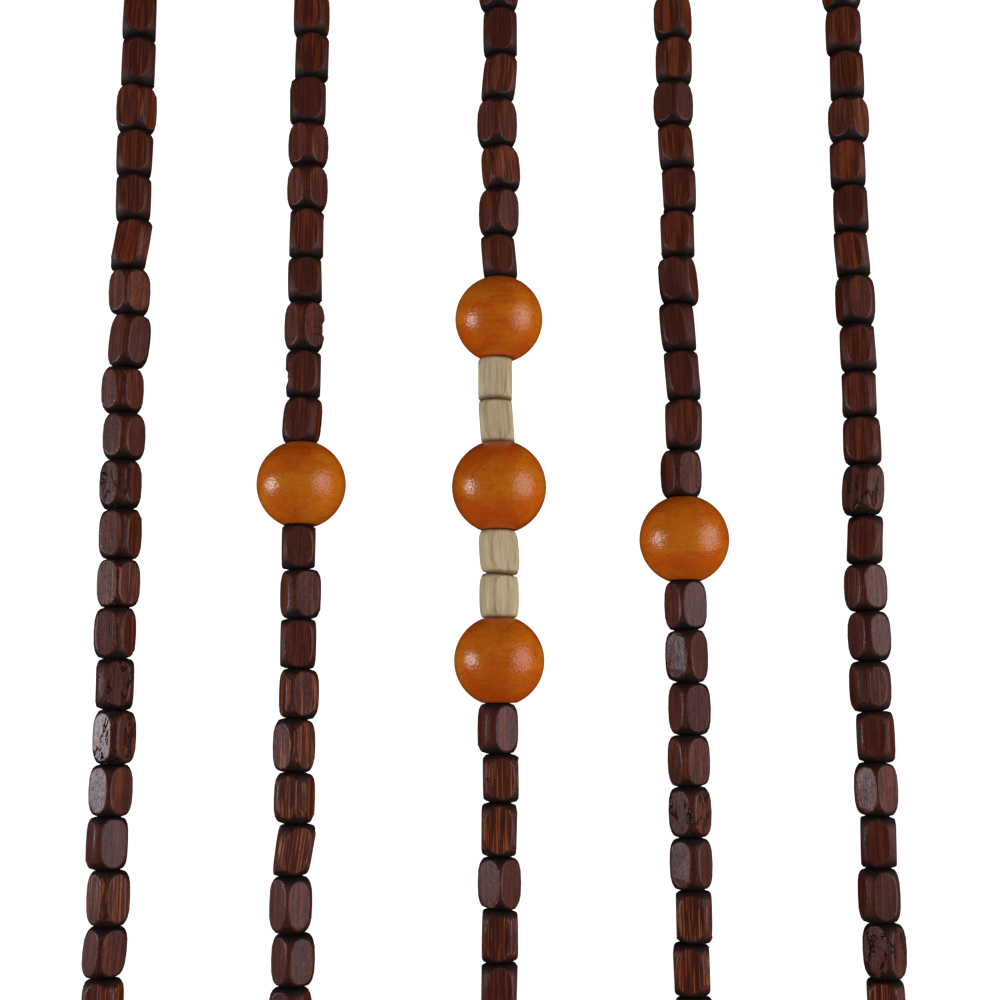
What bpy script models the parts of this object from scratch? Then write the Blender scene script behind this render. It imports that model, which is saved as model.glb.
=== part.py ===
"""A cut length of bead curtain.

Five strands of bamboo beads and wooden balls hang on cords from a narrow heading tape, and a knot under
each strand holds its beads. The origin is the middle of the tape's top edge, the strands hang towards -Z,
and the front of the curtain faces -Y.
"""

import math
from collections import namedtuple
from itertools import groupby

import bmesh
import bpy
from mathutils import Vector

MM = 0.001
GAP = 0.3 * MM

# Heading tape, whose lower edge holds the cords
TAPE_WIDTH = 160 * MM
TAPE_DROP = 16 * MM
TAPE_THICKNESS = 2 * MM
TAPE_ROUNDING = 0.5 * MM

# Cords, and the knots that the beads rest on
CORD_DIAMETER = 1.2 * MM
CORD_ROOT = 8 * MM
CORD_TAIL = 5 * MM
KNOT_DIAMETER = 3.6 * MM
KNOT_HEIGHT = 2.8 * MM

# Bamboo beads: a square stick with four flats, turned to a barrel, so that each flat has round ends
BEAD_ACROSS_FLATS = 6.0 * MM
BEAD_BORE = 2.4 * MM
CREAM_LENGTH = 7.95 * MM
SIZE_STEPS = {"v": -0.8 * MM, "s": -0.4 * MM, ".": 0.0, "l": 0.4 * MM, "x": 0.8 * MM}
SIDE_STEPS = {"L": -0.6 * MM, "l": -0.3 * MM, ".": 0.0, "r": 0.3 * MM, "R": 0.6 * MM}
LEAN_DEGREES = {"L": -8, "l": -4, ".": 0, "r": 4, "R": 8}
LEAST_FLAT = math.radians(22.5)

# The barrel, as diameters over its corners, at fractions of its length
Station = namedtuple("Station", "along diameter")
BEAD_END = Station(along=0.0, diameter=4.4 * MM)
BARREL = (
    Station(along=0.045, diameter=6.0 * MM),
    Station(along=0.20, diameter=7.45 * MM),
    Station(along=0.80, diameter=7.45 * MM),
    Station(along=0.955, diameter=6.0 * MM),
)

# Turned balls, flat where they are drilled. The middle strand's second ball is a bigger one.
Ball = namedtuple("Ball", "diameter length")
BALLS = {
    "B": Ball(diameter=16.0 * MM, length=14.8 * MM),
    "G": Ball(diameter=17.0 * MM, length=15.7 * MM),
}
BALL_BORE = 2.4 * MM
BALL_SIDES = 20
BALL_ARC_STEPS = 8

# The strands, left to right. across is the strand's place along the tape, slant how far it drifts to the
# right over each metre of drop, facing how far its beads turn towards the middle of the view, hang the bare
# cord above its first bead, and length its usual bead. The five charts hold one sign for each bead or ball,
# top to bottom:
#   order  D dark bead, C cream bead, B ball, G bigger ball
#   turns  F a flat faces the front, or the corner that faces it, in tenths of the width from the left
#   leans  top of the bead to the left or right, capitals twice as much
#   sizes  very short, short, long or extra long bead
#   sides  bead that sits to the left or right of its cord, capitals twice as much
Strand = namedtuple("Strand", "name across slant facing hang length order turns leans sizes sides")
STRANDS = (
    Strand(
        name="strand_1", across=-68.0 * MM, slant=2 * MM, facing=14, hang=2.0 * MM, length=9.0 * MM,
        order="DDDDDDDDDDDDDDDDDDDDDDDDD",
        turns="5FFF6FFF445556562553447F4",
        leans=".......R.r...........r...",
        sizes="...l.sslsxss..s..l..ls...",
        sides=".........rL.l..l.r.lr....",
    ),
    Strand(
        name="strand_2", across=-35.5 * MM, slant=0.0, facing=8, hang=1.8 * MM, length=8.8 * MM,
        order="DDDDDDDDDDDDBDDDDDDDDDDDD",
        turns="F58F255FF4F7.F3F3572546F3",
        leans="...........r.......R.....",
        sizes=".....sslsl.s.v...l..x....",
        sides="...rl........lr.rl..lr...",
    ),
    Strand(
        name="strand_3", across=0.0, slant=1 * MM, facing=0, hang=5.5 * MM, length=8.8 * MM,
        order="DDDDDDDDBCCGCCBDDDDDDDD",
        turns="F5F2534F.FF.33.3FF5FF4F",
        leans="...r.l.l..l.l..........",
        sizes="..l.ls.s........sl.....",
        sides="..r.lr...Ll....lr......",
    ),
    Strand(
        name="strand_4", across=33.0 * MM, slant=2 * MM, facing=-7, hang=2.6 * MM, length=8.8 * MM,
        order="DDDDDDDDDDDDDBDDDDDDDDDDD",
        turns="F47258FF78F24.464466FFF5F",
        leans=".....l..lll..............",
        sizes="....sss...ll...ll........",
        sides="....l.r..lrrl...r...rl...",
    ),
    Strand(
        name="strand_5", across=65.0 * MM, slant=5 * MM, facing=-14, hang=5.3 * MM, length=8.8 * MM,
        order="DDDDDDDDDDDDDDDDDDDDDDDDD",
        turns="F42F6FFF3FF85F55385F36F4F",
        leans=".......l....rr...........",
        sizes="...ls..sl.s.l.s...l.ll...",
        sides="...rrl.l.r.r..l.lr..lr...",
    ),
)
Item = namedtuple("Item", "kind top length turn lean side")


def clear_scene():
    for old in list(bpy.data.objects):
        bpy.data.objects.remove(old, do_unlink=True)


def add_collection(name):
    collection = bpy.data.collections.new(name)
    bpy.context.scene.collection.children.link(collection)
    return collection


def add_material(name, colour, roughness):
    material = bpy.data.materials.new(name)
    material.use_nodes = True
    shader = material.node_tree.nodes["Principled BSDF"]
    shader.inputs["Base Color"].default_value = (*colour, 1.0)
    shader.inputs["Roughness"].default_value = roughness
    shader.inputs["Metallic"].default_value = 0.0
    return material


def add_object(name, mesh, collection, parent=None, material=None, location=(0.0, 0.0, 0.0)):
    added = bpy.data.objects.new(name, mesh)
    added.location = location
    added.parent = parent
    if material:
        mesh.materials.append(material)
    collection.objects.link(added)
    return added


def turn_angle(sign, facing):
    """Angle of a bead's facing corner, from straight ahead towards the right."""
    if sign == "F":
        return math.radians(45 + facing)
    if sign == ".":
        return 0.0
    return math.asin((int(sign) - 5) / 5) + math.radians(facing)


def strung_items(strand):
    """Read a strand's charts into the beads and balls on its cord, top to bottom."""
    items = []
    top = -TAPE_DROP - strand.hang
    charts = zip(strand.order, strand.turns, strand.leans, strand.sizes, strand.sides, strict=True)
    for kind, turn, lean, size, side in charts:
        if kind in BALLS:
            length = BALLS[kind].length
        elif kind == "C":
            length = CREAM_LENGTH
        else:
            length = strand.length + SIZE_STEPS[size]
        angle = turn_angle(turn, strand.facing)
        items.append(Item(kind, top, length, angle, math.radians(LEAN_DEGREES[lean]), SIDE_STEPS[side]))
        top -= length
    return items


def cord_at(strand, height):
    """Where a strand's cord passes a height, along the tape."""
    return strand.across - strand.slant * height


def ring_points(centre, height, diameter, turn):
    """Section of a barrel with four flats, as eight points. Where the barrel is thinner than the flats
    it is an even octagon."""
    half = max(LEAST_FLAT, math.acos(min(1.0, BEAD_ACROSS_FLATS / diameter)))
    points = []
    for quarter in range(4):
        facet = turn + math.radians(45 + 90 * quarter)
        for angle in (facet - half, facet + half):
            across = centre + diameter / 2 * math.sin(angle)
            points.append(Vector((across, -diameter / 2 * math.cos(angle), height)))
    return points


def add_band(mesh, upper, lower):
    """Join two rings with the least twist between them."""
    count = len(upper)

    def twist(shift):
        return sum((upper[k].co - lower[(k + shift) % count].co).length for k in range(count))

    shift = min(range(count), key=twist)
    for k in range(count):
        after = (k + 1) % count
        corners = (upper[k], upper[after], lower[(after + shift) % count], lower[(k + shift) % count])
        mesh.faces.new(corners)


def bead_rings(strand, items):
    """The rings down the outside of a run of beads, and up its bore."""
    outside = []
    bore = []
    upper_end = items[0].top - GAP / 2
    for item in items:
        outside.append(ring_points(cord_at(strand, upper_end), upper_end, BEAD_END.diameter, item.turn))
        bore.append(ring_points(cord_at(strand, upper_end), upper_end, BEAD_BORE, item.turn))
        for station in BARREL:
            height = item.top - item.length * station.along
            from_middle = item.length * (0.5 - station.along)
            centre = cord_at(strand, height) + item.side + from_middle * math.tan(item.lean)
            outside.append(ring_points(centre, height, station.diameter, item.turn))
        upper_end = item.top - item.length
    lower_end = upper_end + GAP / 2
    outside.append(ring_points(cord_at(strand, lower_end), lower_end, BEAD_END.diameter, items[-1].turn))
    bore.append(ring_points(cord_at(strand, lower_end), lower_end, BEAD_BORE, items[-1].turn))
    return outside + bore[::-1]


def bead_run(name, strand, items, collection, parent, material):
    """A run of beads that touch end to end, with the bore that their cord passes."""
    origin = Vector((cord_at(strand, items[0].top), 0.0, items[0].top))
    shape = bmesh.new()
    rings = [[shape.verts.new(point - origin) for point in ring] for ring in bead_rings(strand, items)]
    for upper, lower in zip(rings, rings[1:] + rings[:1]):
        add_band(shape, upper, lower)
    bmesh.ops.recalc_face_normals(shape, faces=shape.faces)
    mesh = bpy.data.meshes.new(name)
    shape.to_mesh(mesh)
    shape.free()
    return add_object(name, mesh, collection, parent, material, origin)


def ball(name, strand, item, collection, parent, material):
    """A turned ball, drilled through, with a flat at each end of the bore."""
    size = BALLS[item.kind]
    half = (size.length - GAP) / 2
    flat_from = math.asin(2 * half / size.diameter)
    profile = [(BALL_BORE / 2, half)]
    for step in range(BALL_ARC_STEPS + 1):
        angle = flat_from * (1 - 2 * step / BALL_ARC_STEPS)
        profile.append((size.diameter / 2 * math.cos(angle), size.diameter / 2 * math.sin(angle)))
    profile.append((BALL_BORE / 2, -half))
    points = [(across, 0.0, height) for across, height in profile]
    edges = [(k, (k + 1) % len(points)) for k in range(len(points))]
    mesh = bpy.data.meshes.new(name)
    mesh.from_pydata(points, edges, [])
    middle = item.top - item.length / 2
    turned = add_object(name, mesh, collection, parent, material, (cord_at(strand, middle), 0.0, middle))
    screw = turned.modifiers.new("turned", "SCREW")
    screw.steps = BALL_SIDES
    screw.render_steps = BALL_SIDES
    screw.use_merge_vertices = True
    screw.merge_threshold = 0.00001
    screw.use_smooth_shade = True
    return turned


def add_cutter(name, mesh, cutters, parent, location=(0.0, 0.0, 0.0)):
    cutter = add_object(name, mesh, cutters, parent, location=location)
    cutter.hide_render = True
    cutter.display_type = "WIRE"
    return cutter


def cord(strand, knot_height, cutters, parent):
    """A four-sided cord from inside the tape to its free end below the knot."""
    ends = (CORD_ROOT - TAPE_DROP, knot_height - KNOT_HEIGHT / 2 - CORD_TAIL)
    curve = bpy.data.curves.new(strand.name + "_cord_path", "CURVE")
    curve.dimensions = "3D"
    curve.bevel_depth = CORD_DIAMETER / 2
    curve.bevel_resolution = 0
    curve.use_fill_caps = True
    spline = curve.splines.new("POLY")
    spline.points.add(len(ends) - 1)
    for point, height in zip(spline.points, ends):
        point.co = (cord_at(strand, height), 0.0, height, 1.0)
    path = add_object(strand.name + "_cord_path", curve, cutters, parent)
    bpy.context.view_layer.update()
    evaluated = path.evaluated_get(bpy.context.evaluated_depsgraph_get())
    mesh = bpy.data.meshes.new_from_object(evaluated)
    shape = bmesh.new()
    shape.from_mesh(mesh)
    bmesh.ops.remove_doubles(shape, verts=shape.verts, dist=0.00001)
    shape.to_mesh(mesh)
    shape.free()
    made = add_cutter(strand.name + "_cord", mesh, cutters, parent)
    made.matrix_world = path.matrix_world.copy()
    bpy.data.objects.remove(path, do_unlink=True)
    return made


def knot(strand, height, cutters, parent):
    """A round knot on the cord, just under the last bead."""
    mesh = bpy.data.meshes.new(strand.name + "_knot")
    shape = bmesh.new()
    bmesh.ops.create_icosphere(shape, subdivisions=2, radius=KNOT_DIAMETER / 2)
    bmesh.ops.scale(shape, vec=(1.0, 1.0, KNOT_HEIGHT / KNOT_DIAMETER), verts=shape.verts)
    shape.to_mesh(mesh)
    shape.free()
    place = (cord_at(strand, height), 0.0, height)
    return add_cutter(strand.name + "_knot", mesh, cutters, parent, place)


def heading_and_cords(strung, collection, cutters, parent, material):
    """The tape with every cord and knot joined to it, as the one piece that the curtain hangs by."""
    mesh = bpy.data.meshes.new("heading_and_cords")
    shape = bmesh.new()
    bmesh.ops.create_cube(shape, size=1.0)
    bmesh.ops.scale(shape, vec=(TAPE_WIDTH, TAPE_THICKNESS, TAPE_DROP), verts=shape.verts)
    shape.to_mesh(mesh)
    shape.free()
    tape = add_object("heading_and_cords", mesh, collection, parent, material, (0.0, 0.0, -TAPE_DROP / 2))
    rounding = tape.modifiers.new("rounding", "BEVEL")
    rounding.width = TAPE_ROUNDING
    rounding.segments = 1
    for strand, items in strung:
        beads_end = items[-1].top - items[-1].length
        knot_height = beads_end - GAP / 2 - KNOT_HEIGHT / 2
        for joined in (cord(strand, knot_height, cutters, parent), knot(strand, knot_height, cutters, parent)):
            union = tape.modifiers.new(joined.name, "BOOLEAN")
            union.operation = "UNION"
            union.object = joined
    return tape


def add_strand(strand, items, collection, parent, materials):
    """A strand's nodes: its dark beads in runs, each cream bead and each ball."""
    counts = {}
    for kind, group in groupby(items, key=lambda item: item.kind):
        pieces = [list(group)] if kind == "D" else [[item] for item in group]
        label = {"D": "dark_beads", "C": "cream_bead"}.get(kind, "ball")
        for piece in pieces:
            counts[label] = counts.get(label, 0) + 1
            name = f"{strand.name}_{label}_{counts[label]}"
            if label == "ball":
                ball(name, strand, piece[0], collection, parent, materials[label])
            else:
                bead_run(name, strand, piece, collection, parent, materials[label])


def main():
    clear_scene()
    collection = add_collection("bead_curtain")
    cutters = add_collection("joined_shapes")
    frame = add_object("bead_curtain", None, collection)
    materials = {
        "dark_beads": add_material("dark_bamboo", (0.075, 0.024, 0.012), 0.42),
        "cream_bead": add_material("cream_bamboo", (0.46, 0.36, 0.21), 0.55),
        "ball": add_material("orange_lacquer", (0.50, 0.14, 0.02), 0.30),
    }
    cotton = add_material("cotton", (0.12, 0.07, 0.045), 0.90)
    strung = [(strand, strung_items(strand)) for strand in STRANDS]
    for strand, items in strung:
        add_strand(strand, items, collection, frame, materials)
    heading_and_cords(strung, collection, cutters, frame, cotton)


main()
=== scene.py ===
"""Strings and finishes a cut length of bead curtain, and sets it on a plain stage."""

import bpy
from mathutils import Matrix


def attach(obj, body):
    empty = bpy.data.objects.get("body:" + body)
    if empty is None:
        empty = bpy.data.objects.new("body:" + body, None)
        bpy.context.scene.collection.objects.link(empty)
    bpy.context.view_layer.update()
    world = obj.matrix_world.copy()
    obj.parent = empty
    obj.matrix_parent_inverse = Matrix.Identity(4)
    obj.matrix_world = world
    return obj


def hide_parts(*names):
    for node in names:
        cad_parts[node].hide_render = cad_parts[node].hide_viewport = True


bl_info = {
    "name": "Bead Curtain",
    "version": (1, 0, 0),
    "blender": (4, 5, 0),
    "location": "3D View > Sidebar > Bead Curtain",
    "description": "Strings and finishes a cut length of bead curtain, and sets it on a plain stage",
    "category": "Object",
}

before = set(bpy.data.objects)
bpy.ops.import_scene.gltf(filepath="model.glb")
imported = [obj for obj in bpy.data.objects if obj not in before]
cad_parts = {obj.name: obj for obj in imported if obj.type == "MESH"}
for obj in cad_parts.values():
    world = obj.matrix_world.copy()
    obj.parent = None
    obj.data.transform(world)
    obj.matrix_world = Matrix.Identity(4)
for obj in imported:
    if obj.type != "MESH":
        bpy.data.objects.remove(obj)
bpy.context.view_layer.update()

import math
import random
from collections import namedtuple
from itertools import groupby

import bmesh
import bpy
from bpy.props import FloatProperty, FloatVectorProperty, PointerProperty
from mathutils import Matrix, Vector

MM = 0.001
GAP = 0.3 * MM

# Heading tape, its stitching and its cords. A stitch fills a share of its length, a ply is a share of its
# cord's width, and so is the tube that a knot is tied from
TAPE_DROP = 16 * MM
TAPE_EDGE = 0.35 * MM
STITCH_ROWS = (-3.0 * MM, -13.0 * MM)
STITCH_MARGIN = 2 * MM
STITCH_THICKNESS = 0.42 * MM
STITCH_FILL = 0.86
STITCH_LEAN = math.radians(4)
CORD_ROOT = 8 * MM
CORD_TAIL = 5 * MM
CORD_PLY = 0.54
KNOT_HEIGHT = 2.8 * MM
KNOT_TUBE = 0.92

# Yarns in the finish, as radians of the weave for each millimetre
TAPE_WEAVE = 5.2
THREAD_WEAVE = 9.0
CORD_WEAVE = 14.0

# Beads: what the signs in the strands' charts stand for
CREAM_LENGTH = 7.95 * MM
SIZE_STEPS = {"v": -0.8 * MM, "s": -0.4 * MM, ".": 0.0, "l": 0.4 * MM, "x": 0.8 * MM}
SIDE_STEPS = {"L": -0.6 * MM, "l": -0.3 * MM, ".": 0.0, "r": 0.3 * MM, "R": 0.6 * MM}
LEAN_DEGREES = {"L": -8, "l": -4, ".": 0, "r": 4, "R": 8}

# A bead's outline swells from its ends to its middle: a high fullness keeps its sides straight, and a
# low shoulder makes it leave its ends abruptly
FULLNESS = 3.0
SHOULDER = 0.45
BEAD_STATIONS = (0.0, 0.028, 0.07, 0.14, 0.26, 0.5, 0.74, 0.86, 0.93, 0.972, 1.0)
BEAD_SIDES = 24
BALL_ARC_STEPS = 22
ROUND_SIDES = 48

# How much beads differ from each other, how much shorter each is than its place on the cord, and how near
# to a cut a point counts as on it
END_SPREAD = 0.18 * MM
BARREL_SPREAD = 0.08 * MM
JOINT_SLOPE_SPREAD = 0.035
FLAT_TURN_SPREAD = 0.05
FLAT_RISE_SPREAD = 0.015
FLAT_DEPTH_SPREAD = 0.08 * MM
PLAY = 0.01 * MM
CUT_TOLERANCE = 1e-6

# Where a polished flat faces, to mirror a light: degrees to the right of straight ahead
POLISHED_DEGREES = {"l": -38.5, "K": -38.5, "r": 31.5}

# A flat is a face of more than 8 square millimetres, and its finish is drawn in millimetres on a bead of
# usual length
LEAST_FLAT = 8e-6
LEAST_WORN_FLAT = 0.8 * LEAST_FLAT
GRAIN_LENGTH = 8.8

# A broken side: its heights about the bead's middle, how far out it starts, how deep it goes, and the
# cuts across the bead that give it points to move
NOTCH_LOW = -1.7 * MM
NOTCH_HIGH = 1.2 * MM
NOTCH_REACH = 2.5 * MM
NOTCH_FLOOR = 2.4 * MM
NOTCH_DEPTH = 0.55 * MM
NOTCH_CUTS = [(step - 4.2) * 0.45 * MM for step in range(8)]

# Marks in the balls' lacquer
TURNING_MARK = (0.30, 0.045, 0.003)
MOTTLE = (0.36, 0.05, 0.003)
PORE = (0.05, 0.015, 0.004)

# The stage, in metres from the middle of the tape's top edge
CAMERA_PLACE = (0.0003, -0.265, -0.1748)
CAMERA_TILT = math.radians(99)
SENSOR_WIDTH = 36.0
LIT_PLACE = (0.0, 0.0, -0.13)
LEFT_LIGHT_PLACE = (-0.604, -0.140, -0.150)
LEFT_LIGHT_SIZE = (0.30, 0.17)
LEFT_LIGHT_COLOUR = (0.96, 1.0, 1.04)
RIGHT_LIGHT_PLACE = (0.620, -0.316, -0.130)
RIGHT_LIGHT_SIZE = (0.66, 0.64)
BACKDROP_OUTLINE = ((0.0, -0.45), (1.2, -0.45), (1.41, -0.36), (1.5, -0.15), (1.5, 1.6))

# The fill fades from the floor's strength to this share of it between two heights of the sky
FILL_FADE = (-0.6, -0.1)
FILL_ABOVE = 0.36

Ball = namedtuple("Ball", "diameter length")
BALLS = {
    "B": Ball(diameter=16.0 * MM, length=14.8 * MM),
    "G": Ball(diameter=17.0 * MM, length=15.7 * MM),
}

# The strands, left to right, charted as the curtain is strung: one sign for each bead, top to bottom
Strand = namedtuple("Strand", "name across slant facing hang length order turns leans sizes sides")
STRANDS = (
    Strand(
        name="strand_1", across=-68.0 * MM, slant=2 * MM, facing=14, hang=2.0 * MM, length=9.0 * MM,
        order="DDDDDDDDDDDDDDDDDDDDDDDDD",
        turns="5FFF6FFF445556562553447F4",
        leans=".......R.r...........r...",
        sizes="...l.sslsxss..s..l..ls...",
        sides=".........rL.l..l.r.lr....",
    ),
    Strand(
        name="strand_2", across=-35.5 * MM, slant=0.0, facing=8, hang=1.8 * MM, length=8.8 * MM,
        order="DDDDDDDDDDDDBDDDDDDDDDDDD",
        turns="F58F255FF4F7.F3F3572546F3",
        leans="...........r.......R.....",
        sizes=".....sslsl.s.v...l..x....",
        sides="...rl........lr.rl..lr...",
    ),
    Strand(
        name="strand_3", across=0.0, slant=1 * MM, facing=0, hang=5.5 * MM, length=8.8 * MM,
        order="DDDDDDDDBCCGCCBDDDDDDDD",
        turns="F5F2534F.FF.33.3FF5FF4F",
        leans="...r.l.l..l.l..........",
        sizes="..l.ls.s........sl.....",
        sides="..r.lr...Ll....lr......",
    ),
    Strand(
        name="strand_4", across=33.0 * MM, slant=2 * MM, facing=-7, hang=2.6 * MM, length=8.8 * MM,
        order="DDDDDDDDDDDDDBDDDDDDDDDDD",
        turns="F47258FF78F24.464466FFF5F",
        leans=".....l..lll..............",
        sizes="....sss...ll...ll........",
        sides="....l.r..lrrl...r...rl...",
    ),
    Strand(
        name="strand_5", across=65.0 * MM, slant=5 * MM, facing=-14, hang=5.3 * MM, length=8.8 * MM,
        order="DDDDDDDDDDDDDDDDDDDDDDDDD",
        turns="F42F6FFF3FF85F55385F36F4F",
        leans=".......l....rr...........",
        sizes="...ls..sl.s.l.s...l.ll...",
        sides="...rrl.l.r.r..l.lr..lr...",
    ),
)
Item = namedtuple("Item", "kind number top length turn lean side look")

# How each bead looks, one sign a bead:
#   .  ordinary, d darker, o more orange, t thinly streaked, k knotty
#   l  polished left flat that lies nearer the front, r polished right flat, K knotty with a left one
#   a  broken left side, c broken right side
LOOKS = {
    "strand_1": "...do.doo..dk.tdkKlrt.t..",
    "strand_2": "..odd..ddca..d..ttttrr...",
    "strand_3": "..do.o.........rttlt...",
    "strand_4": "..oodo..dddo..rld.kltt...",
    "strand_5": "..odoodod...k.rrd.l..Kt..",
}


class BambooSettings(bpy.types.PropertyGroup):
    """Sizes and colours of the bamboo beads"""

    across_flats: FloatProperty(
        name="Across Flats", description="Thickness of a bead between opposite flats",
        default=6.08 * MM, min=3.0 * MM, max=12.0 * MM, unit="LENGTH",
    )
    barrel: FloatProperty(
        name="Barrel", description="Diameter over a bead's corners at its middle",
        default=7.52 * MM, min=4.0 * MM, max=16.0 * MM, unit="LENGTH",
    )
    dark_end: FloatProperty(
        name="Dark Bead's End", description="Diameter of a dark bead at its ends", default=4.0 * MM,
        min=2.5 * MM, max=12.0 * MM, unit="LENGTH",
    )
    cream_end: FloatProperty(
        name="Cream Bead's End", description="Diameter of a cream bead at its ends", default=4.75 * MM,
        min=2.5 * MM, max=12.0 * MM, unit="LENGTH",
    )
    bore: FloatProperty(
        name="Bore", description="Diameter of the hole that the cord passes", default=2.4 * MM,
        min=1.3 * MM, max=4.0 * MM, unit="LENGTH",
    )
    rim: FloatProperty(
        name="Worn Rim", description="Width of the rounding round each flat", default=0.16 * MM,
        min=0.05 * MM, max=0.4 * MM, unit="LENGTH",
    )
    stain: FloatVectorProperty(
        name="Stain", description="Dark beads between the fibres", default=(0.066, 0.0100, 0.0046),
        size=3, min=0.0, max=1.0, subtype="COLOR",
    )
    fibre: FloatVectorProperty(
        name="Fibre", description="Dark beads where the fibres show", default=(0.26, 0.050, 0.009),
        size=3, min=0.0, max=1.0, subtype="COLOR",
    )
    streak: FloatVectorProperty(
        name="Streak", description="The palest fibres of streaked dark beads",
        default=(0.42, 0.100, 0.022), size=3, min=0.0, max=1.0, subtype="COLOR",
    )
    # Stain colour, which also paints the shade at the dark beads' necks and ends, where they meet, and in
    # the knots' hollows
    stain_and_shade: FloatVectorProperty(
        name="Gathered Stain", description="Dark beads where stain gathers",
        default=(0.012, 0.0062, 0.0055), size=3, min=0.0, max=1.0, subtype="COLOR",
    )
    # Lighter rims where the stain is rubbed off, which also paint the highlight along the flats' rims
    wear_and_sheen: FloatVectorProperty(
        name="Worn", description="Dark beads where the rims are rubbed", default=(0.17, 0.072, 0.05),
        size=3, min=0.0, max=1.0, subtype="COLOR",
    )
    cream: FloatVectorProperty(
        name="Cream", description="Bare bamboo of the cream beads", default=(0.735, 0.59, 0.352),
        size=3, min=0.0, max=1.0, subtype="COLOR",
    )
    # Brown dirt at the cream beads' ends and rims; at the ends it also paints the shade of the seams
    # where they meet their neighbours
    dirt_and_shade: FloatVectorProperty(
        name="Soiled", description="Cream beads at their ends and rims", default=(0.22, 0.13, 0.055),
        size=3, min=0.0, max=1.0, subtype="COLOR",
    )
    cream_fibre: FloatVectorProperty(
        name="Cream Fibre", description="Brown fibres of the cream beads", default=(0.42, 0.275, 0.125),
        size=3, min=0.0, max=1.0, subtype="COLOR",
    )


class BallSettings(bpy.types.PropertyGroup):
    """Sizes and colours of the turned balls"""

    bore: FloatProperty(
        name="Bore", description="Diameter of the hole that the cord passes", default=2.4 * MM,
        min=1.3 * MM, max=5.0 * MM, unit="LENGTH",
    )
    rim: FloatProperty(
        name="Rim", description="Rounding where a ball is cut flat", default=0.5 * MM,
        min=0.1 * MM, max=1.5 * MM, unit="LENGTH",
    )
    gold: FloatVectorProperty(
        name="Gold", description="Lacquer where the wood is paler", default=(0.74, 0.200, 0.009),
        size=3, min=0.0, max=1.0, subtype="COLOR",
    )
    orange: FloatVectorProperty(
        name="Orange", description="Lacquer where the wood is redder", default=(0.66, 0.098, 0.003),
        size=3, min=0.0, max=1.0, subtype="COLOR",
    )


class HeadingSettings(bpy.types.PropertyGroup):
    """Sizes and colours of the heading tape, the cords and the knots"""

    tape_width: FloatProperty(
        name="Tape Width", description="Length of tape that the strands hang from", default=160 * MM,
        min=20 * MM, max=2.0, unit="LENGTH",
    )
    tape_thickness: FloatProperty(
        name="Tape Thickness", description="Thickness of the woven tape", default=1.8 * MM,
        min=0.5 * MM, max=4.0 * MM, unit="LENGTH",
    )
    cord: FloatProperty(
        name="Cord", description="Diameter of the twisted cord", default=1.2 * MM,
        min=0.5 * MM, max=2.0 * MM, unit="LENGTH",
    )
    twist: FloatProperty(
        name="Twist", description="Length of one turn of the cord's twist", default=3.6 * MM,
        min=1.0 * MM, max=20.0 * MM, unit="LENGTH",
    )
    knot: FloatProperty(
        name="Knot", description="Width of the knot under each strand", default=3.6 * MM,
        min=2.0 * MM, max=8.0 * MM, unit="LENGTH",
    )
    stitch: FloatProperty(
        name="Stitch", description="Length of one stitch along the tape", default=2.5 * MM,
        min=1.0 * MM, max=6.0 * MM, unit="LENGTH",
    )
    yarn: FloatVectorProperty(
        name="Yarn", description="Brown cotton of the tape and cords", default=(0.12, 0.07, 0.045),
        size=3, min=0.0, max=1.0, subtype="COLOR",
    )
    thread: FloatVectorProperty(
        name="Thread", description="Sewing thread along the tape", default=(0.19, 0.12, 0.08),
        size=3, min=0.0, max=1.0, subtype="COLOR",
    )


class StageSettings(bpy.types.PropertyGroup):
    """Camera, lights and backdrop"""

    lens: FloatProperty(
        name="Lens", description="Focal length of the camera", default=53.7, min=20.0, max=200.0,
        subtype="DISTANCE_CAMERA",
    )
    left_power: FloatProperty(
        name="Left Light", description="Power of the small light on the left", default=1.85, min=0.0,
        max=100.0, unit="POWER",
    )
    right_power: FloatProperty(
        name="Right Light", description="Power of the broad light on the right", default=3.3, min=0.0,
        max=100.0, unit="POWER",
    )
    fill: FloatProperty(
        name="Fill", description="Strength of the soft light from the pale floor",
        default=0.34, min=0.0, max=5.0,
    )
    backdrop: FloatProperty(
        name="Backdrop", description="Brightness of the floor and walls",
        default=1.05, min=0.0, max=5.0,
    )


class Socket:
    """A shader node's output, for writing shader maths as plain sums."""

    def __init__(self, finish, socket):
        self.finish = finish
        self.socket = socket

    def __add__(self, other):
        return self.finish.maths("ADD", self, other)

    def __sub__(self, other):
        return self.finish.maths("SUBTRACT", self, other)

    def __rsub__(self, other):
        return self.finish.maths("SUBTRACT", other, self)

    def __mul__(self, other):
        return self.finish.maths("MULTIPLY", self, other)

    __radd__ = __add__
    __rmul__ = __mul__


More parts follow.
